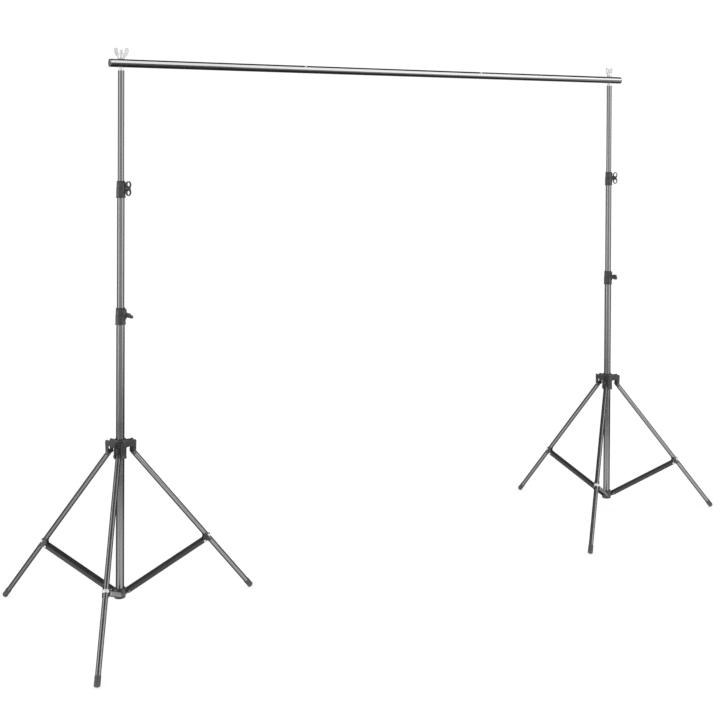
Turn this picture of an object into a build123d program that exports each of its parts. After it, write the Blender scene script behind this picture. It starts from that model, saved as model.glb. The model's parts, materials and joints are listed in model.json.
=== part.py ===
"""Portable background support: two folding light stands joined by a three-piece crossbar.

Frame: millimetres, +Z up, origin on the floor at the centre of the footprint, the crossbar along X.
Each stand has a lower, middle and top column tube, two lever-knob locks, three legs on a sliding
collar and three channel braces on a hub at the foot of the column.
"""
from build123d import *
from math import asin, atan2, cos, degrees, hypot, pi, radians, sin, sqrt
import os

os.makedirs("parts", exist_ok=True)

# ---------------------------------------------------------------- driving dimensions
STUD_SPACING = 1910.0
# midpoint of the two studs, seen from the centre of the rectangle that encloses the six feet and the crossbar
MID_X, MID_Y = -83.2, -14.9
BAR_LEFT_OVERHANG, BAR_RIGHT_OVERHANG = 36.0, 54.0
BAR_Z = 1686.0
BAR_R = 12.5
BAR_BORE_R = 11.3
BAR_JOINTS = (MID_X - 364.0, MID_X + 331.0)
SWAGE_LENGTH = 62.0
SWAGE_R = 11.25
SWAGE_BORE_R = 10.0
BUTTON_INSET = 20.0
BUTTON_R = 3.5
BUTTON_TILT = 50.0

LOWER_R, LOWER_BORE = 12.5, 11.08
MIDDLE_R, MIDDLE_BORE = 11.0, 9.58
TOP_R, TOP_BORE = 9.5, 8.0
LOWER_BOTTOM_Z, LOWER_TOP_Z = 73.0, 915.0
MIDDLE_BOTTOM_Z, MIDDLE_TOP_Z = 650.0, 1298.0
TOP_BOTTOM_Z, TOP_TOP_Z = 1035.0, 1664.0
LOWER_LOCK_Z, UPPER_LOCK_Z = 897.0, 1280.0
LOCK_HEIGHT = 51.0
LOCK_AZIMUTH = -45.0
KNOB_STANDOFF = 5.0
KNOB_WING_AT, KNOB_WING_HALF, KNOB_WING_REACH = 11.5, 11.0, 8.6

COLLAR_BOTTOM_Z, COLLAR_TOP_Z = 491.0, 551.0
COLLAR_R = 18.5
LEG_PIVOT_R, LEG_PIVOT_Z = 40.0, 508.0
LEG_R, LEG_BORE = 8.0, 6.8
FOOT_SPREAD = 444.0
FOOT_R, FOOT_EDGE, FOOT_SLEEVE = 8.9, 4.0, 24.0
FOOT_REST = 7.07
CHEEK_GAP, CHEEK_WALL = 17.0, 4.0
ARM_TIP_R, ARM_TIP_Z = 43.0, 540.0

HUB_R = 17.0
HUB_BOTTOM_Z, HUB_TOP_Z = 68.0, 98.0
HUB_PIVOT_R, HUB_PIVOT_Z = 25.0, 85.0
BRACKET_ALONG = 398.0
BRACKET_OFFSET = 18.0
CHANNEL_WIDTH, CHANNEL_DEPTH, CHANNEL_WALL = 20.0, 12.0, 1.2
PIN_R = 2.0
PIN_FIT = 0.05

STUD_R = 4.0
STUD_TOP_Z = 1727.0
NUT_BASE_Z = BAR_Z + BAR_R + 0.2

# name, stud axis x, azimuth of leg a, azimuth of the nut's wings; legs b and c follow clockwise by 120 degrees each
LEFT_STUD_X, RIGHT_STUD_X = MID_X - STUD_SPACING / 2, MID_X + STUD_SPACING / 2
STANDS = (("left", LEFT_STUD_X, 125.3, -36.0), ("right", RIGHT_STUD_X, 102.6, 22.0))
LEGS = ("a", "b", "c")

# ---------------------------------------------------------------- leg geometry from the dimensions
LEG_RUN = FOOT_SPREAD - LEG_PIVOT_R
LEG_DROP = LEG_PIVOT_Z - FOOT_REST
LEG_LENGTH = hypot(LEG_RUN, LEG_DROP)
LEG_ANGLE = atan2(LEG_RUN, LEG_DROP)
BRACE_TIP_R = LEG_PIVOT_R + BRACKET_ALONG * sin(LEG_ANGLE) - BRACKET_OFFSET * cos(LEG_ANGLE)
BRACE_TIP_Z = LEG_PIVOT_Z - BRACKET_ALONG * cos(LEG_ANGLE) - BRACKET_OFFSET * sin(LEG_ANGLE)
BRACE_LENGTH = hypot(BRACE_TIP_R - HUB_PIVOT_R, BRACE_TIP_Z - HUB_PIVOT_Z)


def save(shape, name):
    """Label one finished piece and write its STEP file."""
    shape.label = name
    export_step(shape, f"parts/{name}.step")


def radial(azimuth):
    """Unit vector pointing away from the column at an azimuth in degrees."""
    return Vector(cos(radians(azimuth)), sin(radians(azimuth)), 0)


def standing_plane(x, azimuth):
    """Vertical plane through a column axis: local x is the distance from the axis, local y is height."""
    out = radial(azimuth)
    return Plane(origin=(x, MID_Y, 0), x_dir=out, z_dir=out.cross(Vector(0, 0, 1)))


def plane_along(plane, start, end):
    """The same vertical plane moved to a start point, its local x running to an end point."""
    p = plane.from_local_coords(Vector(*start, 0))
    q = plane.from_local_coords(Vector(*end, 0))
    return Plane(origin=p, x_dir=(q - p).normalized(), z_dir=plane.z_dir)


# ================================================================ the two stands
for side, axis_x, first_azimuth, nut_azimuth in STANDS:
    column = Plane.XY.move(Location((axis_x, MID_Y, 0)))

    # ------------------------------------------------------------ column tubes
    with BuildPart() as lower_tube:
        with BuildSketch(column.offset(LOWER_BOTTOM_Z)):
            Circle(LOWER_R)
            Circle(LOWER_BORE, mode=Mode.SUBTRACT)
        extrude(amount=LOWER_TOP_Z - LOWER_BOTTOM_Z)
    save(lower_tube.part, f"{side}_lower_tube")

    with BuildPart() as middle_tube:
        with BuildSketch(column.offset(MIDDLE_BOTTOM_Z)):
            Circle(MIDDLE_R)
            Circle(MIDDLE_BORE, mode=Mode.SUBTRACT)
        extrude(amount=MIDDLE_TOP_Z - MIDDLE_BOTTOM_Z)
    save(middle_tube.part, f"{side}_middle_tube")

    with BuildPart() as top_tube:
        with BuildSketch(column.offset(TOP_BOTTOM_Z)):
            Circle(TOP_R)
            Circle(TOP_BORE, mode=Mode.SUBTRACT)
        extrude(amount=TOP_TOP_Z - TOP_BOTTOM_Z)
    save(top_tube.part, f"{side}_top_tube")

    # ------------------------------------------------------------ spigot and stud under the crossbar
    with BuildPart() as spigot:
        with BuildSketch(column.offset(TOP_TOP_Z - 32)):
            Circle(TOP_BORE)
        extrude(amount=32)
        with BuildSketch(column.offset(TOP_TOP_Z)):
            Circle(TOP_R)
        extrude(amount=2)
        with BuildSketch(column.offset(TOP_TOP_Z + 2)):
            Circle(7.5)
        extrude(amount=BAR_Z - BAR_R - 0.2 - TOP_TOP_Z - 2)
        with BuildSketch(column.offset(TOP_TOP_Z + 2)):
            Circle(STUD_R)
        extrude(amount=STUD_TOP_Z - TOP_TOP_Z - 2)
        chamfer(spigot.edges().sort_by(Axis.Z)[-1], 0.8)
    save(spigot.part, f"{side}_spigot")

    # ------------------------------------------------------------ wing nut over the crossbar
    with BuildPart() as wing_nut:
        with BuildSketch(column.offset(NUT_BASE_Z)):
            Circle(10.5)
        extrude(amount=2)
        with BuildSketch(column.offset(NUT_BASE_Z + 2)):
            Circle(8.5)
        extrude(amount=13, taper=8)
        wings = radial(nut_azimuth)
        wing_plane = Plane(origin=(axis_x, MID_Y, NUT_BASE_Z), x_dir=wings, z_dir=wings.cross(Vector(0, 0, 1)))
        with BuildSketch(wing_plane):
            for hand in (-1, 1):
                with BuildLine():
                    Polyline((hand * 5, 2), (hand * 9, 2), (hand * 20.5, 15), (hand * 23, 29),
                             (hand * 19, 34), (hand * 12, 32), (hand * 9, 18), (hand * 5, 13), close=True)
                make_face()
        extrude(amount=2.3, both=True)
        fillet(wing_nut.edges().filter_by(Axis(wing_plane.origin, wing_plane.z_dir))
               .filter_by_position(Axis.Z, NUT_BASE_Z + 20, NUT_BASE_Z + 40), 2.6)
        with BuildSketch(column.offset(NUT_BASE_Z - 1)):
            Circle(STUD_R + PIN_FIT)
        extrude(amount=40, mode=Mode.SUBTRACT)
    save(wing_nut.part, f"{side}_wing_nut")

    # ------------------------------------------------------------ column locks and their knobs
    for level, lock_z, tube_r, bore_r, inner_r, roll in (
        ("lower", LOWER_LOCK_Z, LOWER_R, LOWER_BORE, MIDDLE_R, 65.0),
        ("upper", UPPER_LOCK_Z, MIDDLE_R, MIDDLE_BORE, TOP_R, 0.0),
    ):
        knob_z = lock_z + 28
        seat = 18
        out = radial(LOCK_AZIMUTH)
        screw = Plane(origin=Vector(axis_x, MID_Y, knob_z), x_dir=out.cross(Vector(0, 0, 1)), z_dir=out)
        with BuildPart() as lock:
            with BuildSketch(column.offset(lock_z)):
                Circle(tube_r + 2.4)
            extrude(amount=LOCK_HEIGHT - 22)
            with BuildSketch(column.offset(lock_z)):
                Circle(tube_r + 3.1)
            extrude(amount=5)
            with BuildSketch(column.offset(lock_z + LOCK_HEIGHT - 24)):
                Circle(tube_r + 2.0)
            extrude(amount=22.6, taper=2.5)
            with BuildSketch(column.offset(lock_z + LOCK_HEIGHT - 1.4)):
                Circle(tube_r + 1.0)
            extrude(amount=1.4, taper=30)
            with BuildSketch(screw):
                with Locations((0, -3)):
                    RectangleRounded(17, 32, 4)
            extrude(amount=tube_r + KNOB_STANDOFF - 1.5)
            with BuildSketch(screw):
                Circle(7.5)
            extrude(amount=tube_r + KNOB_STANDOFF - 0.4)
            with BuildSketch(column.offset(lock_z - 1)):
                Circle(tube_r)
            extrude(amount=seat + 1, mode=Mode.SUBTRACT)
            with BuildSketch(column.offset(lock_z - 1)):
                Circle(inner_r + 0.08)
            extrude(amount=LOCK_HEIGHT + 2, mode=Mode.SUBTRACT)
            with BuildSketch(screw.offset(inner_r)):
                Circle(3 + PIN_FIT)
            extrude(amount=40, mode=Mode.SUBTRACT)
        save(lock.part, f"{side}_{level}_lock")

        # thumbscrew: shank, hub and two pierced wings lying in a plane through the screw axis
        seat_r = tube_r + KNOB_STANDOFF
        across = screw.x_dir.rotate(Axis((0, 0, 0), out), roll)
        wing_face = Plane(origin=screw.origin, x_dir=out, z_dir=across)
        with BuildPart() as knob:
            with BuildSketch(screw.offset(inner_r + 0.5)):
                Circle(3)
            extrude(amount=seat_r + 2 - inner_r)
            with BuildSketch(screw.offset(seat_r)):
                Circle(6.8)
            extrude(amount=13)
            with BuildSketch(wing_face):
                with Locations((seat_r + 9, KNOB_WING_AT), (seat_r + 9, -KNOB_WING_AT)):
                    Ellipse(KNOB_WING_REACH, KNOB_WING_HALF)
                with Locations((seat_r + 6, 0)):
                    Rectangle(11, 14)
                with Locations((seat_r + 9.4, KNOB_WING_AT + 1.2), (seat_r + 9.4, -KNOB_WING_AT - 1.2)):
                    Ellipse(4.6, 6.2, mode=Mode.SUBTRACT)
            extrude(amount=3.2, both=True)
        save(knob.part, f"{side}_{level}_knob")

    # ------------------------------------------------------------ sliding leg collar with three clevises
    with BuildPart() as leg_collar:
        with BuildSketch(column.offset(COLLAR_BOTTOM_Z)):
            Circle(COLLAR_R)
        extrude(amount=COLLAR_TOP_Z - COLLAR_BOTTOM_Z)
        fillet(leg_collar.edges().filter_by(GeomType.CIRCLE).sort_by(Axis.Z)[-1], 4.5)
        with BuildSketch(column.offset(COLLAR_BOTTOM_Z + 40)):
            Circle(COLLAR_R + 1.5)
        extrude(amount=5)
        for number in range(3):
            upright = standing_plane(axis_x, first_azimuth - 120 * number)
            for hand in (-1, 1):
                inner = CHEEK_GAP / 2 if hand > 0 else -CHEEK_GAP / 2 - CHEEK_WALL
                with BuildSketch(upright.offset(inner)):
                    with Locations((16, ARM_TIP_Z - 6)):
                        Rectangle(4, 20)
                    with Locations((ARM_TIP_R, ARM_TIP_Z), (ARM_TIP_R - 2, ARM_TIP_Z - 8)):
                        Circle(4)
                    make_hull()
                extrude(amount=CHEEK_WALL)
                with BuildSketch(upright.offset(inner)):
                    with Locations((LEG_PIVOT_R, LEG_PIVOT_Z)):
                        Circle(6)
                    with Locations((ARM_TIP_R - 1, ARM_TIP_Z)):
                        Circle(5)
                    make_hull()
                extrude(amount=CHEEK_WALL)
                boss = inner + CHEEK_WALL if hand > 0 else inner - 1.8
                with BuildSketch(upright.offset(boss)):
                    with Locations((LEG_PIVOT_R, LEG_PIVOT_Z)):
                        Circle(4.5)
                extrude(amount=1.8)
            with BuildSketch(upright):
                with Locations((21, ARM_TIP_Z - 4)):
                    RectangleRounded(18, 14, 1.5)
            extrude(amount=CHEEK_GAP / 2 + 1, both=True)
        with BuildSketch(column.offset(COLLAR_BOTTOM_Z - 1)):
            Circle(LOWER_R + 0.08)
        extrude(amount=COLLAR_TOP_Z - COLLAR_BOTTOM_Z + 2, mode=Mode.SUBTRACT)
    save(leg_collar.part, f"{side}_leg_collar")

    # ------------------------------------------------------------ hub at the foot of the column
    with BuildPart() as hub:
        with BuildSketch(column.offset(HUB_BOTTOM_Z)):
            Circle(HUB_R)
        extrude(amount=HUB_TOP_Z - HUB_BOTTOM_Z)
        fillet(hub.edges().filter_by(GeomType.CIRCLE), 2.0)
        for number in range(3):
            upright = standing_plane(axis_x, first_azimuth - 120 * number)
            with BuildSketch(upright):
                with Locations((HUB_PIVOT_R, HUB_PIVOT_Z)):
                    Circle(4.4)
                with Locations((13, HUB_PIVOT_Z - 4)):
                    Rectangle(2, 16)
                make_hull()
            extrude(amount=6, both=True)
            with BuildSketch(upright):
                with Locations((HUB_PIVOT_R, HUB_PIVOT_Z)):
                    Circle(PIN_R)
            extrude(amount=10, both=True, mode=Mode.SUBTRACT)
        with BuildSketch(column.offset(LOWER_BOTTOM_Z)):
            Circle(LOWER_R)
        extrude(amount=60, mode=Mode.SUBTRACT)
    save(hub.part, f"{side}_hub")

    # three brace pins held in the hub lugs
    with BuildPart() as hub_pins:
        for number in range(3):
            upright = standing_plane(axis_x, first_azimuth - 120 * number)
            with BuildSketch(upright):
                with Locations((HUB_PIVOT_R, HUB_PIVOT_Z)):
                    Circle(PIN_R)
            extrude(amount=CHANNEL_WIDTH / 2 + 1, both=True)
            for start in (CHANNEL_WIDTH / 2 + 0.3, -CHANNEL_WIDTH / 2 - 1.7):
                with BuildSketch(upright.offset(start)):
                    with Locations((HUB_PIVOT_R, HUB_PIVOT_Z)):
                        Circle(3.6)
                extrude(amount=1.4)
    save(hub_pins.part, f"{side}_hub_pins")

    # ------------------------------------------------------------ legs
    for number, leg_name in enumerate(LEGS):
        azimuth = first_azimuth - 120 * number
        upright = standing_plane(axis_x, azimuth)
        along = plane_along(upright, (LEG_PIVOT_R, LEG_PIVOT_Z), (FOOT_SPREAD, FOOT_REST))
        brace_line = plane_along(upright, (HUB_PIVOT_R, HUB_PIVOT_Z), (BRACE_TIP_R, BRACE_TIP_Z))
        leg_axis = Axis(along.origin, along.x_dir)
        tag = f"{side}_leg_{leg_name}"

        # tube, cross-drilled for the bracket rivet
        with BuildPart() as leg_tube:
            with BuildSketch(Plane(origin=along.from_local_coords(Vector(10, 0, 0)), z_dir=along.x_dir)):
                Circle(LEG_R)
                Circle(LEG_BORE, mode=Mode.SUBTRACT)
            extrude(amount=LEG_LENGTH - 10.5)
            with BuildSketch(Plane(origin=along.from_local_coords(Vector(BRACKET_ALONG, -12, 0)), z_dir=along.y_dir)):
                Circle(PIN_R)
            extrude(amount=24, mode=Mode.SUBTRACT)
        save(leg_tube.part, f"{tag}_tube")

        # rounded top plug, its tail pushed into the tube
        with BuildPart() as leg_plug:
            with BuildSketch(along):
                with BuildLine():
                    RadiusArc((-LEG_R, 0), (0, LEG_R), LEG_R)
                    Polyline((0, LEG_R), (10, LEG_R), (10, LEG_BORE), (33, LEG_BORE), (33, 0), (-LEG_R, 0))
                make_face()
            revolve(axis=leg_axis, revolution_arc=360)
        save(leg_plug.part, f"{tag}_plug")

        # rubber foot: sleeve with a closed, round-edged end resting on the floor
        with BuildPart() as foot:
            with BuildSketch(along):
                with BuildLine():
                    Polyline((LEG_LENGTH, FOOT_R), (LEG_LENGTH - FOOT_SLEEVE, FOOT_R), (LEG_LENGTH - FOOT_SLEEVE, LEG_R),
                             (LEG_LENGTH, LEG_R), (LEG_LENGTH, 0), (LEG_LENGTH + FOOT_EDGE, 0),
                             (LEG_LENGTH + FOOT_EDGE, FOOT_R - FOOT_EDGE))
                    RadiusArc((LEG_LENGTH + FOOT_EDGE, FOOT_R - FOOT_EDGE), (LEG_LENGTH, FOOT_R), -FOOT_EDGE)
                make_face()
            revolve(axis=leg_axis, revolution_arc=360)
        save(foot.part, f"{tag}_foot")

        # stamped bracket: saddle under the tube, two ears, brace pin and the rivet through the tube
        with BuildPart() as bracket:
            with BuildSketch(Plane(origin=along.from_local_coords(Vector(BRACKET_ALONG - 16, 0, 0)),
                                   x_dir=along.z_dir, z_dir=along.x_dir)):
                Circle(LEG_R + 1.5)
                Circle(LEG_R, mode=Mode.SUBTRACT)
            extrude(amount=32)
            with BuildSketch(along):
                with Locations((BRACKET_ALONG, 1.5 + LEG_R)):
                    Rectangle(60, 2 * LEG_R)
            extrude(amount=30, both=True, mode=Mode.SUBTRACT)
            for start in (4.6, -6.4):
                with BuildSketch(along.offset(start)):
                    with Locations((BRACKET_ALONG, -BRACKET_OFFSET)):
                        Circle(4.4)
                    with Locations((BRACKET_ALONG, -LEG_R + 0.6)):
                        Rectangle(22, 1.0)
                    make_hull()
                extrude(amount=1.8)
            with BuildSketch(along):
                with Locations((BRACKET_ALONG, -BRACKET_OFFSET)):
                    Circle(PIN_R)
            extrude(amount=CHANNEL_WIDTH / 2 + 1, both=True)
            for start in (CHANNEL_WIDTH / 2 + 0.3, -CHANNEL_WIDTH / 2 - 1.7):
                with BuildSketch(along.offset(start)):
                    with Locations((BRACKET_ALONG, -BRACKET_OFFSET)):
                        Circle(3.6)
                extrude(amount=1.4)
            with BuildSketch(Plane(origin=along.from_local_coords(Vector(BRACKET_ALONG - 16, 0, 0)),
                                   z_dir=along.x_dir)):
                Circle(LEG_R)
            extrude(amount=32, mode=Mode.SUBTRACT)
            with BuildSketch(Plane(origin=along.from_local_coords(Vector(BRACKET_ALONG, -9.5, 0)),
                                   z_dir=along.y_dir)):
                Circle(PIN_R)
            extrude(amount=19)
            with BuildSketch(Plane(origin=along.from_local_coords(Vector(BRACKET_ALONG, LEG_R, 0)),
                                   z_dir=along.y_dir)):
                Circle(4.2)
            extrude(amount=2.2, taper=20)
        save(bracket.part, f"{tag}_bracket")

        # channel brace, web upwards, flanges straddling the hub lug and the bracket ears
        with BuildPart() as brace:
            with BuildSketch(brace_line):
                with Locations((BRACE_LENGTH / 2, 0)):
                    SlotCenterToCenter(BRACE_LENGTH, CHANNEL_DEPTH)
            extrude(amount=CHANNEL_WIDTH / 2, both=True)
            with BuildSketch(brace_line):
                with Locations((BRACE_LENGTH / 2, -CHANNEL_WALL - 5)):
                    Rectangle(BRACE_LENGTH + 40, CHANNEL_DEPTH + 10)
                with Locations((-4, 0)):
                    Rectangle(20, 40)
                with Locations((BRACE_LENGTH + 5, 0)):
                    Rectangle(20, 40)
            extrude(amount=CHANNEL_WIDTH / 2 - CHANNEL_WALL, both=True, mode=Mode.SUBTRACT)
            with BuildSketch(brace_line):
                with Locations((0, 0), (BRACE_LENGTH, 0)):
                    Circle(PIN_R + PIN_FIT)
            extrude(amount=CHANNEL_WIDTH, both=True, mode=Mode.SUBTRACT)
        save(brace.part, f"{side}_brace_{leg_name}")

# ================================================================ the crossbar
left_end = LEFT_STUD_X - BAR_LEFT_OVERHANG
right_end = RIGHT_STUD_X + BAR_RIGHT_OVERHANG
CAP_FLANGE = 3.0
button_out = Vector(0, -cos(radians(BUTTON_TILT)), sin(radians(BUTTON_TILT)))
bar_axis = Plane(origin=(0, MID_Y, BAR_Z), x_dir=(0, 1, 0), z_dir=(1, 0, 0))
joint_1, joint_2 = BAR_JOINTS
for section, start, end in (
    ("left", left_end + CAP_FLANGE, joint_1),
    ("centre", joint_1, joint_2),
    ("right", joint_2, right_end - CAP_FLANGE),
):
    swaged = section != "right"
    with BuildPart() as tube_section:
        with BuildSketch(bar_axis.offset(start)):
            Circle(BAR_R)
            Circle(BAR_BORE_R, mode=Mode.SUBTRACT)
        extrude(amount=end - start)
        if swaged:
            with BuildSketch(bar_axis.offset(end - 6)):
                Circle(BAR_R - 0.3)
                Circle(SWAGE_BORE_R, mode=Mode.SUBTRACT)
            extrude(amount=6)
            with BuildSketch(bar_axis.offset(end)):
                Circle(SWAGE_R)
                Circle(SWAGE_BORE_R, mode=Mode.SUBTRACT)
            extrude(amount=SWAGE_LENGTH)
        for stud_x in (LEFT_STUD_X, RIGHT_STUD_X):
            if start < stud_x < end:
                with BuildSketch(Plane(origin=(stud_x, MID_Y, BAR_Z - 20), z_dir=(0, 0, 1))):
                    Circle(STUD_R + PIN_FIT)
                extrude(amount=40, mode=Mode.SUBTRACT)
        for joint in BAR_JOINTS:
            if start < joint + BUTTON_INSET < end + SWAGE_LENGTH * swaged:
                with BuildSketch(Plane(origin=(joint + BUTTON_INSET, MID_Y, BAR_Z), z_dir=button_out)):
                    Circle(BUTTON_R + PIN_FIT)
                extrude(amount=20, mode=Mode.SUBTRACT)
    save(tube_section.part, f"crossbar_{section}_section")

# sprung buttons that lock the sections together
for name, joint in (("left", joint_1), ("right", joint_2)):
    press = Plane(origin=(joint + BUTTON_INSET, MID_Y, BAR_Z), z_dir=button_out)
    with BuildPart() as button:
        with BuildSketch(press.offset(6.0)):
            Circle(BUTTON_R)
        extrude(amount=9.2)
        fillet(button.edges().sort_by(Axis(press.origin, press.z_dir))[-1], 2.2)
        with BuildSketch(press.offset(6.0)):
            Circle(5.0)
        extrude(amount=1.6)
    save(button.part, f"{name}_snap_button")

# push-in caps closing the two ends of the crossbar
with BuildPart() as end_caps:
    for tip, inward in ((left_end, 1), (right_end, -1)):
        cap_plane = Plane(origin=(tip, MID_Y, BAR_Z), z_dir=(inward, 0, 0))
        with BuildSketch(cap_plane):
            Circle(BAR_R)
        extrude(amount=CAP_FLANGE)
        with BuildSketch(cap_plane.offset(CAP_FLANGE)):
            Circle(BAR_BORE_R)
        extrude(amount=14)
save(end_caps.part, "crossbar_end_caps")

# ---------------------------------------------------------------- kinematic figures worked from the dimensions
folded_tip_r = LEG_PIVOT_R - BRACKET_OFFSET
folded_tip_z = HUB_PIVOT_Z + sqrt(BRACE_LENGTH**2 - (folded_tip_r - HUB_PIVOT_R) ** 2)
fold_travel = folded_tip_z + BRACKET_ALONG - LEG_PIVOT_Z
brace_rest = degrees(asin((BRACE_TIP_Z - HUB_PIVOT_Z) / BRACE_LENGTH))
brace_folded = degrees(pi / 2 + asin((HUB_PIVOT_R - folded_tip_r) / BRACE_LENGTH))
print(f"leg length {LEG_LENGTH:.3f} mm, leg angle {degrees(LEG_ANGLE):.5f} deg, brace length {BRACE_LENGTH:.3f} mm")
print(f"brace tip r {BRACE_TIP_R:.5f} mm, z {BRACE_TIP_Z:.5f} mm, collar travel {fold_travel:.5f} mm")
print(f"brace swing {brace_folded - brace_rest:.5f} deg")
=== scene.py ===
"""Looks for the portable background support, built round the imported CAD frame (metres, +Z up)."""

import json
import math

import bmesh
import bpy
import numpy as np
from mathutils import Matrix, Vector

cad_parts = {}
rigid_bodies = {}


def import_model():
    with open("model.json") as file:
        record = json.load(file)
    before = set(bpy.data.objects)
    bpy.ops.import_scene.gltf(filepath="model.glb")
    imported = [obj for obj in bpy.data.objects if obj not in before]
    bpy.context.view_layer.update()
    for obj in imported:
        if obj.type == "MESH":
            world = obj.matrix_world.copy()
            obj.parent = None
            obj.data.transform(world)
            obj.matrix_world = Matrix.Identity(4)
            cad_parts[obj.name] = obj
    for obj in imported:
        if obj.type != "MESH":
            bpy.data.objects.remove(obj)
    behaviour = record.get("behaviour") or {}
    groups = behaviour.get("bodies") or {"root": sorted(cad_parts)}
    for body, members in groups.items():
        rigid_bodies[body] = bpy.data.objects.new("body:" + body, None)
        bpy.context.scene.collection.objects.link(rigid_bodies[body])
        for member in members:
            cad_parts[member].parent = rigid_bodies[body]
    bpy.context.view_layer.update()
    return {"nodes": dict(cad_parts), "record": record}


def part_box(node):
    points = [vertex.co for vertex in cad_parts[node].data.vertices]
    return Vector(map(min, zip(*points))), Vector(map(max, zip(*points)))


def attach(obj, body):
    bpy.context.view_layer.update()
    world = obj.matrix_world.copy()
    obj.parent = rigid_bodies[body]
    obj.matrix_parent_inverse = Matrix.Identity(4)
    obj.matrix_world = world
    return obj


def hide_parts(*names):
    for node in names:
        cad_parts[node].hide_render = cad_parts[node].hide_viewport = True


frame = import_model()
NODES = frame["nodes"]
JOINTS = {j["name"]: j for j in frame["record"]["behaviour"]["joints"]}
BODY = {n: b for b, members in frame["record"]["behaviour"]["bodies"].items() for n in members}
SLOT = {s["node"]: s["material_slot"] for s in frame["record"]["subparts"]}
MM = 0.001
SIDES = ("left", "right")
LEVELS = ("lower", "upper")
LEGS = ("a", "b", "c")
UP = Vector((0, 0, 1))
# a direction that lies along no part's axis, to start a local frame from
OFF_AXIS = (0.31, 0.74, 0.59)

# ---------------------------------------------------------------- shader helpers


def feed(tree, socket, value):
    """Link a node's output to a socket, or set the socket's own value."""
    if isinstance(value, bpy.types.NodeSocket):
        tree.links.new(value, socket)
    else:
        socket.default_value = value


def ranged(tree, value, low, high, to_low, to_high):
    """Map low..high onto to_low..to_high, held at both ends."""
    node = tree.nodes.new("ShaderNodeMapRange")
    for name, number in (("From Min", low), ("From Max", high), ("To Min", to_low), ("To Max", to_high)):
        node.inputs[name].default_value = number
    tree.links.new(value, node.inputs["Value"])
    return node.outputs["Result"]


def calculated(tree, kind, first, second):
    node = tree.nodes.new("ShaderNodeMath")
    node.operation = kind
    feed(tree, node.inputs[0], first)
    feed(tree, node.inputs[1], second)
    return node.outputs["Value"]


class Shader:
    """A Principled material and short calls for the nodes that feed it."""

    def __init__(self, name):
        self.material = bpy.data.materials.new(name)
        self.material.use_nodes = True
        self.tree = self.material.node_tree
        self.principled = self.tree.nodes["Principled BSDF"]
        coord = self.tree.nodes.new("ShaderNodeTexCoord")
        self.place = coord.outputs["Object"]
        self.geometry = self.tree.nodes.new("ShaderNodeNewGeometry")

    def link(self, source, node, socket):
        self.tree.links.new(source, node.inputs[socket])

    def set(self, **values):
        for socket, value in values.items():
            feed(self.tree, self.principled.inputs[socket.replace("_", " ")], value)

    def stretched(self, scale):
        """Object coordinates scaled unevenly, for drawn or brushed grain."""
        node = self.tree.nodes.new("ShaderNodeMapping")
        node.inputs["Scale"].default_value = scale
        self.link(self.place, node, "Vector")
        return node.outputs["Vector"]

    def noise(self, size_mm, detail=3.0, rough=0.55, where=None):
        node = self.tree.nodes.new("ShaderNodeTexNoise")
        node.inputs["Scale"].default_value = 1 / (size_mm * MM)
        node.inputs["Detail"].default_value = detail
        node.inputs["Roughness"].default_value = rough
        self.link(where or self.place, node, "Vector")
        return node.outputs["Fac"]

    def cells(self, size_mm):
        node = self.tree.nodes.new("ShaderNodeTexVoronoi")
        node.inputs["Scale"].default_value = 1 / (size_mm * MM)
        self.link(self.place, node, "Vector")
        return node.outputs["Distance"]

    def remap(self, value, low, high, to_low=0.0, to_high=1.0):
        return ranged(self.tree, value, low, high, to_low, to_high)

    def across(self, noise, low, high):
        """Spread the middle of a noise, where most of it lies, over low to high."""
        return self.remap(noise, 0.3, 0.7, low, high)

    def times(self, first, second):
        return calculated(self.tree, "MULTIPLY", first, second)

    def plus(self, value, extra, share):
        """value with a share of extra added."""
        return calculated(self.tree, "ADD", value, self.times(extra, share))

    def mix(self, factor, first, second):
        node = self.tree.nodes.new("ShaderNodeMix")
        node.data_type = "RGBA"
        sockets = [s for s in node.inputs if s.type == "RGBA"]
        self.tree.links.new(factor, node.inputs[0])
        for socket, colour in zip(sockets, (first, second)):
            linked = isinstance(colour, bpy.types.NodeSocket)
            feed(self.tree, socket, colour if linked else (*colour, 1))
        return [s for s in node.outputs if s.type == "RGBA"][0]

    def edges(self, low=0.52, high=0.62):
        """1 on convex edges, where paint and plastic rub through."""
        return self.remap(self.geometry.outputs["Pointiness"], low, high)

    def facing(self):
        """0 where the surface faces the viewer, rising to 1 at its outline."""
        node = self.tree.nodes.new("ShaderNodeLayerWeight")
        node.inputs["Blend"].default_value = 0.5
        return node.outputs["Facing"]

    def bump(self, height, depth_mm, strength=1.0, below=None):
        node = self.tree.nodes.new("ShaderNodeBump")
        node.inputs["Strength"].default_value = strength
        node.inputs["Distance"].default_value = depth_mm * MM
        self.link(height, node, "Height")
        if below is not None:
            self.link(below, node, "Normal")
        return node.outputs["Normal"]


# where the painted shade at a tube's outline starts and where it is full, as Layer Weight facing values;
# inside it the middle carries a painted highlight
TUBE_CENTRE, TUBE_EDGE = 0.38, 0.16


def column_enamel(name):
    """Black-nickel enamel on drawn tube, lightly rubbed lengthwise, with a painted highlight down its
    middle and painted shade at its edges.
    """
    s = Shader(name)
    mottling = s.noise(45, 4)
    rubbed = s.remap(s.noise(3, 3, where=s.stretched((1, 1, 0.03))), 0.58, 0.74)
    # painted light: the base colour is lighter where the tube faces the viewer, and painted shade darkens
    # it towards the outline
    middle = s.remap(s.facing(), TUBE_EDGE, TUBE_CENTRE, 1.0, 0.0)
    shade = s.mix(mottling, (0.31, 0.31, 0.312), (0.40, 0.40, 0.402))
    base = s.mix(middle, (0.012, 0.012, 0.013), shade)
    colour = s.mix(s.times(rubbed, 0.2), base, (0.36, 0.36, 0.37))
    s.set(Base_Color=colour, Metallic=0.94, Specular_IOR_Level=0.4, Coat_Weight=0.15, Coat_Roughness=0.16,
          Roughness=s.plus(s.across(mottling, 0.22, 0.30), rubbed, 0.08),
          Normal=s.bump(mottling, 0.03, 0.2))
    return s.material


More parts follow.
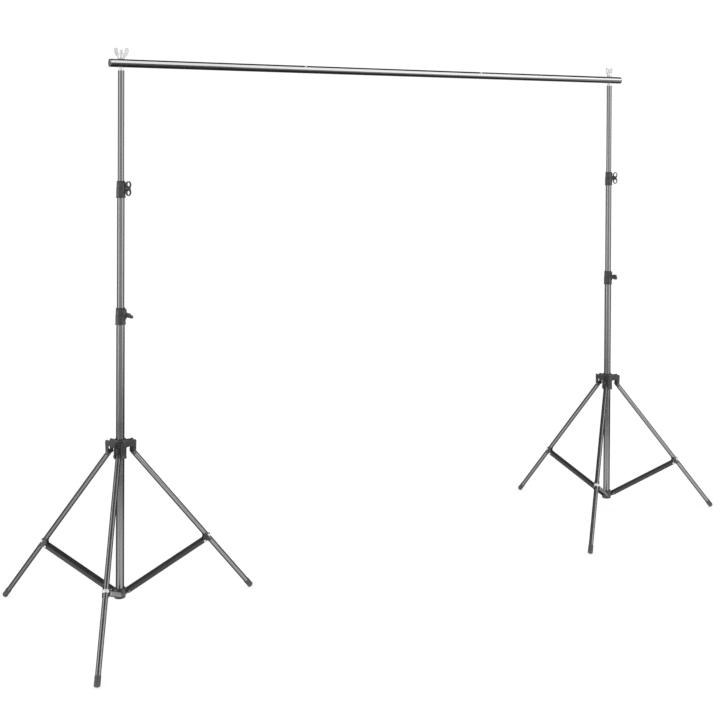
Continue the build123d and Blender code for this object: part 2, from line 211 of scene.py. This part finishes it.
def bar_gloss(name):
    """Deep black gloss enamel with dust specks and faint handling rubs."""
    s = Shader(name)
    mottling = s.noise(60, 3)
    rubbed = s.remap(s.noise(4, 3, where=s.stretched((0.03, 1, 1))), 0.60, 0.76)
    specks = s.remap(s.noise(1.4, 2), 0.70, 0.76)
    base = s.mix(mottling, (0.005, 0.005, 0.006), (0.012, 0.012, 0.013))
    s.set(Base_Color=s.mix(s.times(specks, 0.4), base, (0.09, 0.09, 0.088)), Specular_IOR_Level=0.9,
          Roughness=s.plus(s.across(mottling, 0.08, 0.13), rubbed, 0.10),
          Coat_Weight=1.0, Coat_Roughness=0.07, Normal=s.bump(mottling, 0.03, 0.15))
    return s.material


def stamped_steel(name):
    """Satin black paint on pressed sheet, worn to bare steel on its sharpest edges."""
    s = Shader(name)
    mottling = s.noise(22, 4)
    chips = s.times(s.edges(0.56, 0.66), s.remap(s.noise(2.0, 3), 0.5, 0.62))
    base = s.mix(mottling, (0.012, 0.012, 0.013), (0.032, 0.032, 0.034))
    s.set(Base_Color=s.mix(chips, base, (0.34, 0.34, 0.35)), Metallic=chips,
          Roughness=s.across(mottling, 0.30, 0.46), Coat_Weight=0.2, Coat_Roughness=0.3,
          Normal=s.bump(s.noise(0.9, 2), 0.02, 0.5, s.bump(mottling, 0.12, 0.3)))
    return s.material


def moulded_plastic(name, rough, light):
    """Spark-eroded mould texture with paler, polished edges."""
    s = Shader(name)
    grain = s.cells(0.7)
    cloud = s.noise(18, 3)
    base = s.mix(cloud, (0.024, 0.024, 0.025), (0.046, 0.046, 0.047))
    worn = s.times(s.edges(), 0.5)
    s.set(Base_Color=s.mix(worn, base, (light, light, light)), Specular_IOR_Level=0.7,
          Roughness=s.plus(s.across(cloud, rough - 0.05, rough + 0.07), worn, -0.1),
          Normal=s.bump(grain, 0.008, 0.35, s.bump(cloud, 0.1, 0.15)))
    return s.material


def rubber(name):
    """Slightly shiny dipped rubber, dusty where it meets the floor, with a painted highlight down its
    middle and painted shade at its outline.
    """
    s = Shader(name)
    dust = s.remap(s.noise(9, 5, 0.7), 0.45, 0.75)
    # painted light: the base colour is lighter where the foot faces the viewer, and painted shade darkens
    # it towards the outline
    middle = s.remap(s.facing(), TUBE_EDGE, TUBE_CENTRE, 1.0, 0.0)
    base = s.mix(middle, (0.012, 0.012, 0.012), (0.075, 0.075, 0.074))
    s.set(Base_Color=s.mix(s.times(dust, 0.4), base, (0.11, 0.108, 0.103)),
          Roughness=s.remap(dust, 0, 1, 0.34, 0.55), Specular_IOR_Level=0.6,
          Normal=s.bump(s.noise(0.8, 3), 0.02, 0.3))
    return s.material


def plated(name, tone, rough, blotch, shine):
    """Zinc plate: soft blotches, turned-tool lines, and a milky cast where it isn't fully bright."""
    s = Shader(name)
    cloud = s.noise(6, 4)
    lines = s.noise(0.25, 2, where=s.stretched((0.15, 0.15, 1)))
    dark = [t * blotch for t in tone]
    s.set(Base_Color=s.mix(cloud, dark, tone), Metallic=shine,
          Roughness=s.plus(s.across(cloud, rough - 0.06, rough + 0.08), lines, 0.05),
          Normal=s.bump(lines, 0.006, 0.3, s.bump(cloud, 0.04, 0.25)))
    return s.material


MATERIALS = {
    "black_tube": column_enamel("Column enamel"),
    "crossbar_gloss": bar_gloss("Crossbar gloss enamel"),
    "black_stamping": stamped_steel("Pressed channel paint"),
    "steel_pins": plated("Dark zinc pins", (0.30, 0.30, 0.31), 0.36, 0.6, 0.9),
    "bright_zinc": plated("Bright zinc plate", (0.86, 0.86, 0.87), 0.26, 0.80, 0.40),
    "black_plastic": moulded_plastic("Moulded lock plastic", 0.34, 0.10),
    "knob_plastic": moulded_plastic("Moulded knob plastic", 0.30, 0.11),
    "foot_rubber": rubber("Foot rubber"),
}
for node, obj in NODES.items():
    obj.data.materials.clear()
    obj.data.materials.append(MATERIALS[SLOT[node]])

# ---------------------------------------------------------------- places read from the frame


def node_points(node):
    """The node's corners, each once, as an array in the row frame."""
    return np.unique(np.array([v.co for v in NODES[node].data.vertices]).round(6), axis=0)


def joint_place(name):
    return Vector(JOINTS[name]["pos_m"]), Vector(JOINTS[name]["axis"]).normalized()


def placement(origin, z_axis, x_hint):
    """Matrix of a local frame from its origin, its Z axis and a direction near its X axis."""
    z = Vector(z_axis).normalized()
    y = z.cross(Vector(x_hint)).normalized()
    x = y.cross(z)
    return Matrix.Translation(origin) @ Matrix((x, y, z)).transposed().to_4x4()


def heights(node):
    """The lowest and highest Z of a CAD node."""
    low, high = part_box(node)
    return low[2], high[2]


def stud(side):
    """The vertical axis of one stand, at floor height."""
    place = joint_place(f"{side}_stud_turn")[0]
    return Vector((place.x, place.y, 0))


TUBE_R = {name: (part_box(f"left_{name}_tube")[1][0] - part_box(f"left_{name}_tube")[0][0]) / 2
          for name in ("lower", "middle", "top")}
BAR_R = (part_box("crossbar_centre_section")[1][2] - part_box("crossbar_centre_section")[0][2]) / 2
BAR_Z = joint_place("left_stud_turn")[0].z


class Leg:
    """Centre line, radius and pivots of one leg, measured on its CAD nodes."""

    def __init__(self, side, letter):
        self.body = f"{side}_leg_{letter}"
        plug, foot = node_points(self.body + "_plug"), node_points(self.body + "_foot")
        start, end = Vector(plug.mean(axis=0)), Vector(foot.mean(axis=0))
        self.down = (end - start).normalized()
        self.brace_pin, self.swing = joint_place(f"{side}_leg_{letter}_turn")
        tube = node_points(self.body + "_tube") - np.array(start)
        along = tube @ np.array(self.down)
        self.radius = float(np.linalg.norm(tube - np.outer(along, self.down), axis=1).max())
        plug_top = float(((plug - np.array(start)) @ np.array(self.down)).min())
        self.pivot = start + self.down * (plug_top + self.radius)
        self.tip = start + self.down * float(((foot - np.array(start)) @ np.array(self.down)).max())
        self.on_axis = self.pivot + self.down * (self.brace_pin - self.pivot).dot(self.down)
        self.outward = (self.on_axis - self.brace_pin).normalized()


STAND_LEGS = {side: [Leg(side, letter) for letter in LEGS] for side in SIDES}


# ---------------------------------------------------------------- mesh helpers


def spin(bm, outline, place, steps=40, loop=False):
    """Turn a (radius, height) outline round the local Z axis; a loop closes on itself."""
    rings = []
    for radius, height in outline:
        if radius < 1e-7:
            rings.append([bm.verts.new(place @ Vector((0, 0, height)))])
            continue
        angles = [2 * math.pi * k / steps for k in range(steps)]
        rings.append([bm.verts.new(place @ Vector((radius * math.cos(a), radius * math.sin(a), height)))
                      for a in angles])
    for low, high in zip(rings, rings[1:] + (rings[:1] if loop else [])):
        for k in range(steps):
            j = (k + 1) % steps
            corners = [low[k % len(low)], low[j % len(low)], high[j % len(high)], high[k % len(high)]]
            corners = list(dict.fromkeys(corners))
            bm.faces.new(corners)


def arc(centre, radius, start, end, steps=6):
    """Points of a round stretch of an outline, angles in degrees from the radius direction."""
    turns = [math.radians(start + (end - start) * k / steps) for k in range(steps + 1)]
    return [(centre[0] + radius * math.cos(t), centre[1] + radius * math.sin(t)) for t in turns]


def sweep(bm, section, frames):
    """Join copies of a closed section, one at each frame, and cap both ends."""
    rings = [[bm.verts.new(place @ Vector((x, y, 0))) for x, y in section] for place in frames]
    count = len(section)
    for low, high in zip(rings, rings[1:]):
        for k in range(count):
            j = (k + 1) % count
            bm.faces.new((low[k], low[j], high[j], high[k]))
    bm.faces.new(rings[0][::-1])
    bm.faces.new(rings[-1])


def finish_mesh(bm, name):
    bmesh.ops.recalc_face_normals(bm, faces=bm.faces)
    mesh = bpy.data.meshes.new(name)
    bm.to_mesh(mesh)
    bm.free()
    return mesh


def add_piece(name, mesh, body, slot, crease=40):
    obj = bpy.data.objects.new(name, mesh)
    bpy.context.scene.collection.objects.link(obj)
    mesh.materials.clear()
    mesh.materials.append(MATERIALS[slot])
    mesh.shade_smooth()
    mesh.set_sharp_from_angle(angle=math.radians(crease))
    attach(obj, body)
    return obj


def applied(obj):
    """Turn an object's modifiers into its mesh."""
    graph = bpy.context.evaluated_depsgraph_get()
    mesh = bpy.data.meshes.new_from_object(obj.evaluated_get(graph))
    obj.modifiers.clear()
    old, obj.data = obj.data, mesh
    bpy.data.meshes.remove(old)
    return obj


def moulded(name, node, voxel_mm, rounds, details, keep):
    """A moulded or cast look for a CAD node: its solid, details fused on, every edge softened."""
    bm = bmesh.new()
    bm.from_mesh(NODES[node].data)
    bmesh.ops.remove_doubles(bm, verts=bm.verts, dist=1e-6)
    details(bm)
    obj = add_piece(name, finish_mesh(bm, name), BODY[node], SLOT[node])
    fuse = obj.modifiers.new("Fuse", "REMESH")
    fuse.mode = "VOXEL"
    fuse.voxel_size = voxel_mm * MM
    soften = obj.modifiers.new("Soften", "SMOOTH")
    soften.factor, soften.iterations = 0.5, rounds
    thin = obj.modifiers.new("Thin", "DECIMATE")
    thin.ratio = keep
    applied(obj)
    obj.data.shade_smooth()
    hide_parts(node)
    return obj


def capsule(bm, start, end, radius, sides=10):
    """A rod with rounded ends."""
    length = (end - start).length
    outline = arc((0, 0), radius, -90, 0, 4) + arc((0, length), radius, 0, 90, 4)
    outline[0], outline[-1] = (0, -radius), (0, length + radius)
    spin(bm, outline, placement(start, end - start, OFF_AXIS), sides)


def torus(bm, place, major, minor, sides=48):
    spin(bm, arc((major, 0), minor, 0, 330, 11), place, sides, loop=True)


def beads(bm, axis, ends, base, rows):
    """Round beads about an upright axis; a row is (end, height from it, distance out, radius) in mm."""
    for end, height, out, radius in rows:
        torus(bm, Matrix.Translation(axis + UP * (ends[end] + height * MM)), base + out * MM, radius * MM)


# ---------------------------------------------------------------- column locks and their knobs
LOCK_RIBS = 16
RIB_R = 0.75 * MM
RIB_CLEAR = math.radians(40)
# rows for beads(): end 0 is the foot and end 1 the top
LOCK_BEADS = ((0, 1.0, 2.9, 1.0), (0, 28.6, 2.3, 0.8), (1, -3.0, 1.1, 0.8))
# each row of ribs: distance out from the tube, then both ends as (end, height from it), in mm
RIB_ROWS = ((2.25, (0, 8), (0, 25)), (1.25, (0, 32), (1, -6)))


def lock_details(side, level):
    """Grip ribs, a rolled foot and beads; the ribs leave out the stretch under the clamp block."""
    ends = heights(f"{side}_{level}_lock")
    tube = TUBE_R["lower" if level == "lower" else "middle"]
    axis = stud(side)
    screw = joint_place(f"{side}_{level}_knob_turn")[1]
    facing = math.atan2(screw.y, screw.x)

    def details(bm):
        beads(bm, axis, ends, tube, LOCK_BEADS)
        for k in range(LOCK_RIBS):
            turn = 2 * math.pi * k / LOCK_RIBS
            if abs(math.remainder(turn, 2 * math.pi)) < RIB_CLEAR:
                continue
            out = Vector((math.cos(facing + turn), math.sin(facing + turn), 0))
            for reach, *tips in RIB_ROWS:
                foot = axis + out * (tube + reach * MM)
                start, end = (foot + UP * (ends[at] + height * MM) for at, height in tips)
                capsule(bm, start, end, RIB_R)

    return details


# depths below the knob's outer end
CAP_BELOW = 4.6 * MM
COLLAR_BELOW = 16.4 * MM
CAP_R, CAP_SUNK = 5.9 * MM, 3 * MM
KNOB_COLLAR = (6.6 * MM, 1.0 * MM)


def knob_details(side, level):
    """A domed cap over the screw and a moulded collar round its foot."""
    place, screw = joint_place(f"{side}_{level}_knob_turn")
    reach = max((Vector(p) - place).dot(screw) for p in node_points(f"{side}_{level}_knob"))

    def details(bm):
        face = placement(place + screw * (reach - CAP_BELOW), screw, UP)
        edge = arc((4.5 * MM, 0.4 * MM), 1.4 * MM, 0, 80, 5)
        crown = [(2.2 * MM, 2.1 * MM), (0, 2.3 * MM)]
        spin(bm, [(0, -CAP_SUNK), (CAP_R, -CAP_SUNK)] + edge + crown, face, 32)
        torus(bm, placement(place + screw * (reach - COLLAR_BELOW), screw, UP), *KNOB_COLLAR, 32)

    return details


for side in SIDES:
    for level in LEVELS:
        lock, knob = f"{side}_{level}_lock", f"{side}_{level}_knob"
        moulded(lock + "_shell", lock, 0.6, 4, lock_details(side, level), 0.5)
        moulded(knob + "_shell", knob, 0.45, 6, knob_details(side, level), 0.6)


# ---------------------------------------------------------------- leg collars and hubs
SLEEVE_WALL = 6 * MM
SLEEVE_BEADS = ((0, 1.3, -0.2, 1.3), (1, -8.5, 0.1, 1.0))
SLEEVE_RIB_R = 1.1 * MM
SLEEVE_RIB_TURNS = (-0.35, 0, 0.35)
HUB_BEADS = ((1, -2.2, 3.4, 1.3), (0, 3.4, 4.2, 1.0))


def collar_details(side, legs):
    """Beads round the sleeve and stiffening ribs between the arms."""
    axis = stud(side)
    ends = heights(f"{side}_leg_collar")
    sleeve = TUBE_R["lower"] + SLEEVE_WALL

    def details(bm):
        beads(bm, axis, ends, sleeve, SLEEVE_BEADS)
        for leg in legs:
            out = (leg.pivot - axis) * Vector((1, 1, 0))
            out.normalize()
            between = Matrix.Rotation(math.radians(60), 4, "Z") @ out
            for turn in SLEEVE_RIB_TURNS:
                ray = Matrix.Rotation(turn, 4, "Z") @ between
                foot = axis + ray * (sleeve - 0.1 * MM)
                capsule(bm, foot + UP * (ends[0] + 6 * MM), foot + UP * (ends[1] - 14 * MM), SLEEVE_RIB_R)

    return details


def hub_details(side):
    """A bead at the mouth of the hub and one round its foot."""

    def details(bm):
        beads(bm, stud(side), heights(f"{side}_hub"), TUBE_R["lower"], HUB_BEADS)

    return details


RIVET_SUNK = 0.6 * MM
# radius and height of each kind of rivet head
COLLAR_HEAD = (3.6 * MM, 1.6 * MM)
HUB_HEAD = LEG_PIN_HEAD = (3.4 * MM, 1.2 * MM)
STRAP_HEAD = (4.4 * MM, 1.9 * MM)
STRAP_HEAD_SEAT = 1.9 * MM


def domed_head(bm, base, normal, radius, height):
    """A rivet's snap head: a short rim and a flattened dome."""
    rim = 0.25 * height
    dome = [(radius * math.cos(t), rim + (height - rim) * math.sin(t))
            for t in (math.pi / 2 * k / 6 for k in range(6))]
    spin(bm, [(0, -RIVET_SUNK), (radius * 0.96, -RIVET_SUNK)] + dome + [(0, height)],
         placement(base, normal, OFF_AXIS), 24)


PIN_FACE = 11.6 * MM
CHEEK_FACE = 14.0 * MM
STRAP_HALF, STRAP_WALL = 4.6 * MM, 0.7 * MM
STRAP_WRAP = math.radians(78)
STRAP_STEPS = 24


def saddle_strap(bm, leg):
    """The bright washer under the bracket rivet: a band that follows the upper half of the tube."""
    inner = leg.radius + 0.05 * MM
    outer = inner + STRAP_WALL
    soft = 0.25 * MM
    section = [(inner, -STRAP_HALF), (outer - soft, -STRAP_HALF), (outer, -STRAP_HALF + soft),
               (outer, STRAP_HALF - soft), (outer - soft, STRAP_HALF), (inner, STRAP_HALF)]
    frames = []
    for k in range(STRAP_STEPS + 1):
        turn = -STRAP_WRAP + 2 * STRAP_WRAP * k / STRAP_STEPS
        out = Matrix.Rotation(turn, 3, leg.down) @ leg.outward
        place = Matrix((out, leg.down, out.cross(leg.down))).transposed().to_4x4()
        frames.append(Matrix.Translation(leg.on_axis) @ place)
    sweep(bm, section, frames)


for side in SIDES:
    legs = STAND_LEGS[side]
    moulded(f"{side}_collar_shell", f"{side}_leg_collar", 0.8, 4, collar_details(side, legs), 0.5)
    moulded(f"{side}_hub_shell", f"{side}_hub", 0.65, 4, hub_details(side), 0.5)
    collar_rivets, hub_rivets = bmesh.new(), bmesh.new()
    for letter, leg in zip(LEGS, legs):
        hub_pin = joint_place(f"{side}_brace_{letter}_turn")[0]
        leg_rivets = bmesh.new()
        for hand in (-1, 1):
            face = leg.swing * hand
            domed_head(collar_rivets, leg.pivot + face * CHEEK_FACE, face, *COLLAR_HEAD)
            domed_head(hub_rivets, hub_pin + face * PIN_FACE, face, *HUB_HEAD)
            domed_head(leg_rivets, leg.brace_pin + face * PIN_FACE, face, *LEG_PIN_HEAD)
        saddle_strap(leg_rivets, leg)
        seat = leg.on_axis + leg.outward * (leg.radius + STRAP_HEAD_SEAT)
        domed_head(leg_rivets, seat, leg.outward, *STRAP_HEAD)
        add_piece(f"{leg.body}_rivets", finish_mesh(leg_rivets, "rivets"), leg.body, "bright_zinc", 50)
    for part, rivets, body in (("collar", collar_rivets, "collar"), ("hub", hub_rivets, "lower_column")):
        mesh = finish_mesh(rivets, "rivets")
        add_piece(f"{side}_{part}_rivets", mesh, f"{side}_{body}", "steel_pins", 50)


# ---------------------------------------------------------------- rubber feet
FOOT_OVER = 0.9 * MM
FOOT_GROOVES = 4
GROOVE_START, GROOVE_PITCH = 5.0 * MM, 3.6 * MM
# one groove's outline: height from its middle and depth, in mm
GROOVE = ((-0.9, 0), (-0.55, 0.15), (0, 0.5), (0.55, 0.15), (0.9, 0))
FOOT_LIP, FOOT_EDGE = 0.5 * MM, 3.8 * MM


def rubber_foot(leg):
    """A slip-on foot: bell mouth, moulded grooves, round tread edge and a dished end."""
    node = f"{leg.body}_foot"
    depth = max((leg.tip - Vector(p)).dot(leg.down) for p in node_points(node))
    inner, outer = leg.radius + 0.02 * MM, leg.radius + FOOT_OVER
    outline = [(inner, 0.4 * MM), (inner + 0.2 * MM, 0)]
    outline += arc((outer - FOOT_LIP, FOOT_LIP), FOOT_LIP, -90, 0, 4)
    for k in range(FOOT_GROOVES):
        middle = GROOVE_START + GROOVE_PITCH * k
        outline += [(outer - deep * MM, middle + height * MM) for height, deep in GROOVE]
    outline += arc((outer - FOOT_EDGE, depth - FOOT_EDGE), FOOT_EDGE, 0, 82, 8)
    outline += [(2.6 * MM, depth), (1.8 * MM, depth - 0.4 * MM), (0, depth - 0.7 * MM)]
    bm = bmesh.new()
    spin(bm, outline, placement(leg.tip - leg.down * depth, leg.down, leg.outward), 48)
    obj = add_piece(f"{leg.body}_rubber_foot", finish_mesh(bm, "foot"), leg.body, "foot_rubber", 60)
    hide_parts(node)


for side in SIDES:
    for leg in STAND_LEGS[side]:
        rubber_foot(leg)


# ---------------------------------------------------------------- wing nuts and stud threads
# flange bead and crown bead: height above the nut's foot, major radius, minor radius
FLANGE_BEAD = (1.1 * MM, 10.0 * MM, 1.1 * MM)
CROWN_BEAD = (14.4 * MM, 5.8 * MM, 1.2 * MM)
# a wing's rim from its inner top corner round its outside: distance out and height, in mm
WING_RIM = ((17.0, 31.6), (20.8, 27.5), (19.8, 20.0), (15.2, 12.5))
WING_RIM_R, WING_ROOT_R = 2.7 * MM, 2.5 * MM


def nut_details(side):
    """A rolled flange, a rounded crown and fuller wing tips."""
    low = heights(f"{side}_wing_nut")[0]
    axis = stud(side)
    corners = node_points(f"{side}_wing_nut") - np.array(axis)
    far = corners[np.hypot(corners[:, 0], corners[:, 1]).argmax()]
    wing = Vector((far[0], far[1], 0)).normalized()

    def details(bm):
        for (height, major, minor), sides in ((FLANGE_BEAD, 48), (CROWN_BEAD, 32)):
            torus(bm, Matrix.Translation(axis + UP * (low + height)), major, minor, sides)
        for hand in (-1, 1):
            rim = [axis + wing * hand * r * MM + UP * (low + h * MM) for r, h in WING_RIM]
            for a, b in zip(rim, rim[1:]):
                capsule(bm, a, b, WING_RIM_R, 14)
            root = axis + wing * hand * 12.6 * MM + UP * (low + 26 * MM)
            capsule(bm, rim[0], root, WING_ROOT_R, 14)

    return details


THREAD_PITCH = 1.25 * MM
THREAD_ROOT, THREAD_CREST = 3.9 * MM, 4.35 * MM
THREAD_STEPS = 20


def stud_thread(side):
    """The exposed end of the stud: a rolled thread under the chamfered tip."""
    top = heights(f"{side}_spigot")[1] - 1.2 * MM
    bottom = heights(f"{side}_wing_nut")[0] + 15.6 * MM
    axis = stud(side)
    half = THREAD_PITCH * 0.42
    shoulder = THREAD_CREST - 0.08 * MM
    section = [(THREAD_ROOT, -half), (shoulder, -0.1 * MM), (THREAD_CREST, 0), (shoulder, 0.1 * MM),
               (THREAD_ROOT, half)]
    steps = THREAD_STEPS
    count = int((top - bottom) / THREAD_PITCH * steps)
    frames = []
    for k in range(count + 1):
        turn = 2 * math.pi * k / steps
        fade = min(1, k / steps * 2, (count - k) / steps * 2)
        out = Vector((math.cos(turn), math.sin(turn), 0))
        rise = UP * (bottom + THREAD_PITCH * k / steps)
        place = Matrix.Translation(axis + rise - out * 0.4 * MM * (1 - fade))
        frames.append(place @ Matrix((out, UP, out.cross(UP))).transposed().to_4x4())
    bm = bmesh.new()
    sweep(bm, section, frames)
    add_piece(f"{side}_stud_thread", finish_mesh(bm, "thread"), BODY[f"{side}_spigot"], "bright_zinc", 30)


for side in SIDES:
    moulded(f"{side}_wing_nut_cast", f"{side}_wing_nut", 0.45, 8, nut_details(side), 0.6)
    stud_thread(side)


# ---------------------------------------------------------------- crossbar joints and soft edges
LIP_INNER, LIP_R = 0.1 * MM, 0.42 * MM


def joint_lips():
    """The rolled lip that stiffens the open end of each crossbar section."""
    bm = bmesh.new()
    for section in ("centre", "right"):
        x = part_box(f"crossbar_{section}_section")[0][0]
        place = placement(Vector((x, stud("left").y, BAR_Z)), (1, 0, 0), UP)
        seat = BAR_R - LIP_INNER
        outline = [(seat, 0)] + arc((seat, 1.3 * MM), LIP_R, -80, 80, 8) + [(seat, 2.6 * MM)]
        spin(bm, outline, place, 64, loop=True)
    add_piece("crossbar_joint_lips", finish_mesh(bm, "lips"), "crossbar", "crossbar_gloss", 60)


joint_lips()

SOFT_EDGES = {"black_stamping": 0.35, "black_plastic": 0.7}
for node, obj in NODES.items():
    soft = SOFT_EDGES.get(SLOT[node])
    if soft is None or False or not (node.endswith(("bracket", "end_caps")) or "brace" in node):
        continue
    weld = obj.modifiers.new("Weld", "WELD")
    weld.merge_threshold = 1e-6
    bevel = obj.modifiers.new("Soft edges", "BEVEL")
    bevel.width = soft * MM
    bevel.segments = 2
    bevel.limit_method = "ANGLE"
    bevel.angle_limit = math.radians(40)

# ---------------------------------------------------------------- floor, light and camera
AHEAD_YAW = math.radians(31.795)
AHEAD = Vector((math.sin(AHEAD_YAW), math.cos(AHEAD_YAW), 0))
RIGHT = Vector((math.cos(AHEAD_YAW), -math.sin(AHEAD_YAW), 0))
MIDDLE = (stud("left") + stud("right")) / 2
FLOOR_HALF = 40.0
FLOOR_DROP = 0.0005
# distances over which the sweep fades to plain white, and how white it is at the near one
FADE_NEAR, FADE_FAR, FADE_START = 1.2, 4.0, 0.72
SWEEP_PAINT, UNSEEN_PAINT, SWEEP_GLOW = 0.9, 0.8, 1.02
# in reflections the sweep is white close by, flagged black at middle distance and grey far off
NEAR_SWEEP, FAR_SWEEP = (0.9, 1.6), (2.2, 3.4)
WHITE_TONE, FLAG_TONE, GREY_TONE = 0.95, 0.04, 0.48


def emission(tree, strength):
    """White light of the given strength."""
    node = tree.nodes.new("ShaderNodeEmission")
    node.inputs["Color"].default_value = (1, 1, 1, 1)
    feed(tree, node.inputs["Strength"], strength)
    return node.outputs[0]


def diffuse(tree, tone):
    node = tree.nodes.new("ShaderNodeBsdfDiffuse")
    node.inputs["Color"].default_value = (tone, tone, tone, 1)
    return node.outputs[0]


def mixed(tree, factor, first, second):
    node = tree.nodes.new("ShaderNodeMixShader")
    tree.links.new(factor, node.inputs[0])
    tree.links.new(first, node.inputs[1])
    tree.links.new(second, node.inputs[2])
    return node.outputs[0]


def build_floor():
    """A seamless white sweep: soft contact shadows near the feet, plain white further out."""
    mesh = bpy.data.meshes.new("floor")
    h = FLOOR_HALF
    mesh.from_pydata([(-h, -h, 0), (h, -h, 0), (h, h, 0), (-h, h, 0)], [], [(0, 1, 2, 3)])
    floor = bpy.data.objects.new("floor", mesh)
    bpy.context.scene.collection.objects.link(floor)
    floor.location.z = -FLOOR_DROP
    material = bpy.data.materials.new("Studio sweep")
    material.use_nodes = True
    tree = material.node_tree
    tree.nodes.clear()
    out = tree.nodes.new("ShaderNodeOutputMaterial")
    path = tree.nodes.new("ShaderNodeLightPath")
    geometry = tree.nodes.new("ShaderNodeNewGeometry")
    away = tree.nodes.new("ShaderNodeVectorMath")
    away.operation = "LENGTH"
    tree.links.new(geometry.outputs["Position"], away.inputs[0])
    fade = ranged(tree, away.outputs["Value"], FADE_NEAR, FADE_FAR, FADE_START, 1.0)
    shown = mixed(tree, fade, diffuse(tree, SWEEP_PAINT), emission(tree, SWEEP_GLOW))
    near = ranged(tree, path.outputs["Ray Length"], *NEAR_SWEEP, WHITE_TONE, FLAG_TONE)
    far = ranged(tree, path.outputs["Ray Length"], *FAR_SWEEP, FLAG_TONE, GREY_TONE)
    mirrored = emission(tree, calculated(tree, "MAXIMUM", near, far))
    unseen = mixed(tree, path.outputs["Is Glossy Ray"], diffuse(tree, UNSEEN_PAINT), mirrored)
    tree.links.new(mixed(tree, path.outputs["Is Camera Ray"], unseen, shown), out.inputs["Surface"])
    mesh.materials.append(material)


ROOM_GLOW = 1.05
HORIZON_GLOW, ZENITH_GLOW = 0.52, 0.05
# heights on the sky, as the Z of the view direction, between which the glow falls off
GLOW_FULL, GLOW_GONE = 0.15, 0.5


def build_world():
    """Even white light; reflections see grey round the horizon and dark overhead, as if flagged."""
    world = bpy.data.worlds.new("Studio")
    bpy.context.scene.world = world
    world.use_nodes = True
    tree = world.node_tree
    tree.nodes.clear()
    out = tree.nodes.new("ShaderNodeOutputWorld")
    path = tree.nodes.new("ShaderNodeLightPath")
    coord = tree.nodes.new("ShaderNodeTexCoord")
    split = tree.nodes.new("ShaderNodeSeparateXYZ")
    tree.links.new(coord.outputs["Generated"], split.inputs[0])
    plain = tree.nodes.new("ShaderNodeBackground")
    plain.inputs["Strength"].default_value = ROOM_GLOW
    mirrored = tree.nodes.new("ShaderNodeBackground")
    glow = ranged(tree, split.outputs["Z"], GLOW_FULL, GLOW_GONE, HORIZON_GLOW, ZENITH_GLOW)
    tree.links.new(glow, mirrored.inputs["Strength"])
    for node in (plain, mirrored):
        node.inputs["Color"].default_value = (1, 1, 1, 1)
    tree.links.new(mixed(tree, path.outputs["Is Glossy Ray"], plain.outputs[0], mirrored.outputs[0]),
                   out.inputs["Surface"])


def softbox(name, place, aim, size, radiance):
    """A rectangular softbox of even brightness, out of the camera's sight."""
    light = bpy.data.lights.new(name, "AREA")
    light.shape = "RECTANGLE"
    light.size, light.size_y = size
    light.energy = radiance * math.pi * size[0] * size[1]
    obj = bpy.data.objects.new(name, light)
    bpy.context.scene.collection.objects.link(obj)
    obj.location = place
    obj.rotation_euler = (Vector(aim) - Vector(place)).to_track_quat("-Z", "Y").to_euler()
    obj.visible_camera = False
    return obj


PANEL_RADIANCE = 1.15
PANEL_SIZE = (3.4, 3.6)
PANEL_ASIDE, PANEL_FRONT = 2.2, 1.6
BAR_PANEL_RADIANCE = 6.5
BAR_PANEL_SIZE = (5.6, 3.2)
BAR_PANEL_TILT = math.radians(-20)
# the bar panel stands this far along the crossbar, in front of it and above it
BAR_PANEL_ALONG, BAR_PANEL_FRONT, BAR_PANEL_ABOVE = 0.9, 2.0, 1.5


def build_lights():
    """A tall panel beside each stand lines the columns; one above, for the crossbar only, its band."""
    for name, side, hand in (("left panel", "left", -1), ("right panel", "right", 1)):
        place = stud(side) + RIGHT * hand * PANEL_ASIDE - AHEAD * PANEL_FRONT + UP * PANEL_SIZE[1] / 2
        softbox(name, place, place - RIGHT * hand, PANEL_SIZE, PANEL_RADIANCE)
    bar = MIDDLE + UP * BAR_Z
    place = bar + Vector((BAR_PANEL_ALONG, -BAR_PANEL_FRONT, BAR_PANEL_ABOVE))
    aim = bar + Vector((BAR_PANEL_ALONG, 0, 0))
    panel = softbox("bar panel", place, aim, BAR_PANEL_SIZE, BAR_PANEL_RADIANCE)
    panel.rotation_euler.rotate_axis("Z", BAR_PANEL_TILT)
    lit = bpy.data.collections.new("lit by the bar panel")
    for obj in bpy.data.objects:
        if obj.name.startswith("crossbar"):
            lit.objects.link(obj)
    panel.light_linking.receiver_collection = lit


VIEW_PITCH = math.radians(0.642)
VIEW_ROLL = math.radians(0.307)
VIEW_PLACE = MIDDLE + Vector((-2.0481, -3.5368, 1.4896))
VIEW_LENS = 59.354
LENS_SHIFT = (-0.0981, -0.3010)


def build_camera():
    """The main view: nearly level, from the left and in front, framed low by a lens shift."""
    data = bpy.data.cameras.new("camera")
    camera = bpy.data.objects.new("camera", data)
    bpy.context.scene.collection.objects.link(camera)
    data.sensor_width = 36
    data.lens = VIEW_LENS
    data.clip_start, data.clip_end = 0.05, 200
    camera.location = VIEW_PLACE
    look = (AHEAD * math.cos(VIEW_PITCH) - UP * math.sin(VIEW_PITCH)).normalized()
    camera.rotation_mode = "QUATERNION"
    roll = Matrix.Rotation(-VIEW_ROLL, 4, look).to_quaternion()
    camera.rotation_quaternion = roll @ look.to_track_quat("-Z", "Y")
    # the shift belongs to this view only, so it drops to nothing when the camera is moved elsewhere
    for socket, shift in zip(("shift_x", "shift_y"), LENS_SHIFT):
        driver = data.driver_add(socket).driver
        variable = driver.variables.new()
        variable.name = "x"
        variable.type = "TRANSFORMS"
        variable.targets[0].id = camera
        variable.targets[0].transform_type = "LOC_X"
        driver.expression = f"{shift} if abs(x - {VIEW_PLACE.x:.6f}) < 0.0005 else 0.0"
    bpy.context.scene.camera = camera


build_floor()
build_world()
build_lights()
build_camera()
bpy.context.scene.view_settings.view_transform = "Standard"
